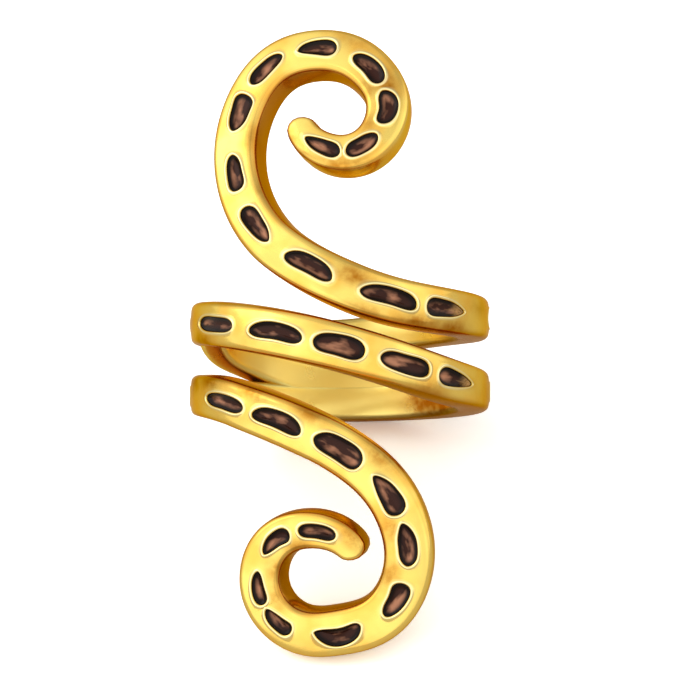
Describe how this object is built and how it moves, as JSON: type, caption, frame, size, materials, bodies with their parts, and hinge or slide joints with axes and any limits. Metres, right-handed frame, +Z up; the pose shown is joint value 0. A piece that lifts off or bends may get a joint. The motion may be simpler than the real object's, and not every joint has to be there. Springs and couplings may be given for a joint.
{
  "type": "braid hair ring",
  "caption": "Cast gold-tone hair ring: a flat strip wound round a braid, with a scroll above and below and dark enamel dashes along its outer face.",
  "frame": {"origin": "middle of the bounding box in plan, on the surface that the ring rests on", "axes": "+Z up from the surface, +Y towards the side that the upper scroll leans back to, +X to the right as the dashed face is seen"},
  "size_m": [0.0192, 0.0306, 0.027],
  "materials": {
    "gold_metal": "polished",
    "enamel": "gloss"
  },
  "bodies": {
    "root": {"band": "gold_metal", "enamel_01": "enamel", "enamel_02": "enamel", "enamel_03": "enamel", "enamel_04": "enamel", "enamel_05": "enamel", "enamel_06": "enamel", "enamel_07": "enamel", "enamel_08": "enamel", "enamel_09": "enamel", "enamel_10": "enamel", "enamel_11": "enamel", "enamel_12": "enamel", "enamel_13": "enamel", "enamel_14": "enamel", "enamel_15": "enamel", "enamel_16": "enamel", "enamel_17": "enamel", "enamel_18": "enamel", "enamel_19": "enamel", "enamel_20": "enamel", "enamel_21": "enamel", "enamel_22": "enamel", "enamel_23": "enamel", "enamel_24": "enamel", "enamel_25": "enamel", "enamel_26": "enamel", "enamel_27": "enamel", "enamel_28": "enamel", "enamel_29": "enamel", "enamel_30": "enamel", "enamel_31": "enamel", "enamel_32": "enamel", "enamel_33": "enamel", "enamel_34": "enamel", "enamel_35": "enamel", "enamel_36": "enamel", "enamel_37": "enamel", "enamel_38": "enamel", "enamel_39": "enamel", "enamel_40": "enamel"}
  },
  "joints": []
}
